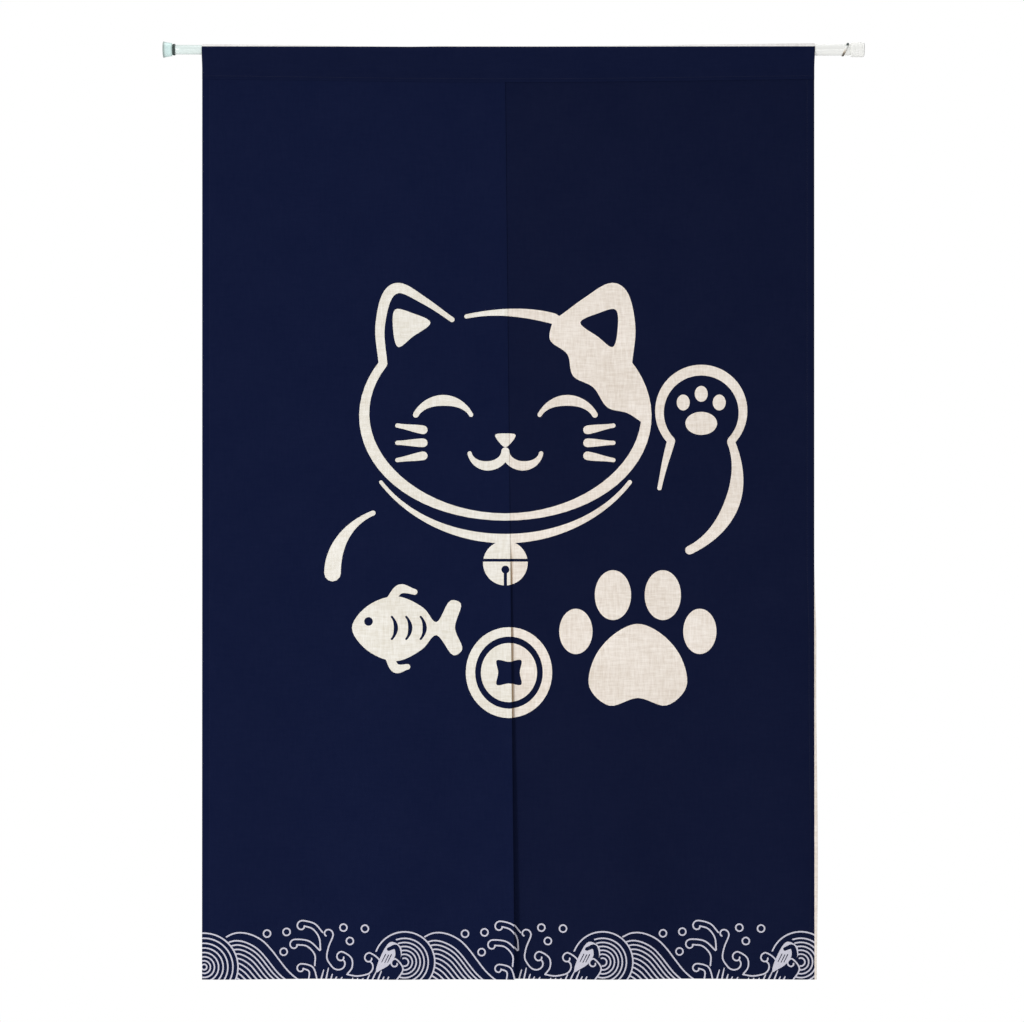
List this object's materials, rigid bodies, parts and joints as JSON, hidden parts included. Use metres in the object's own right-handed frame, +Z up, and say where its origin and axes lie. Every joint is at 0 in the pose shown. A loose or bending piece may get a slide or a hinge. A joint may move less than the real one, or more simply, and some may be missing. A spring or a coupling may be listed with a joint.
{
  "type": "noren curtain on a tension rod",
  "caption": "Doorway noren of printed linen: lapped panels under one heading strip, hung from a telescopic tension rod that presses between walls.",
  "frame": {"origin": "centre of the left end cap's outer face, which presses on the left wall", "axes": "+X along the rod to the right end cap, +Z up, -Y towards the viewer of the printed side"},
  "size_m": [0.973, 0.023, 1.3025],
  "materials": {
    "navy_linen": "matt plain-weave linen, printed navy with the motif left bare",
    "white_enamel": "satin white enamel on thin steel tube",
    "white_plastic": "moulded pale plastic with a soft sheen",
    "dark_rubber": "matt dark rubber",
    "grey_plastic": "matt pale grey plastic"
  },
  "bodies": {
    "root": {"heading": "navy_linen", "left_panel": "navy_linen", "right_panel": "navy_linen", "thin_tube": "white_enamel", "thick_tube": "white_enamel", "left_cap": "white_plastic", "right_cap": "white_plastic", "left_ring": "dark_rubber", "right_ring": "grey_plastic"}
  },
  "joints": []
}
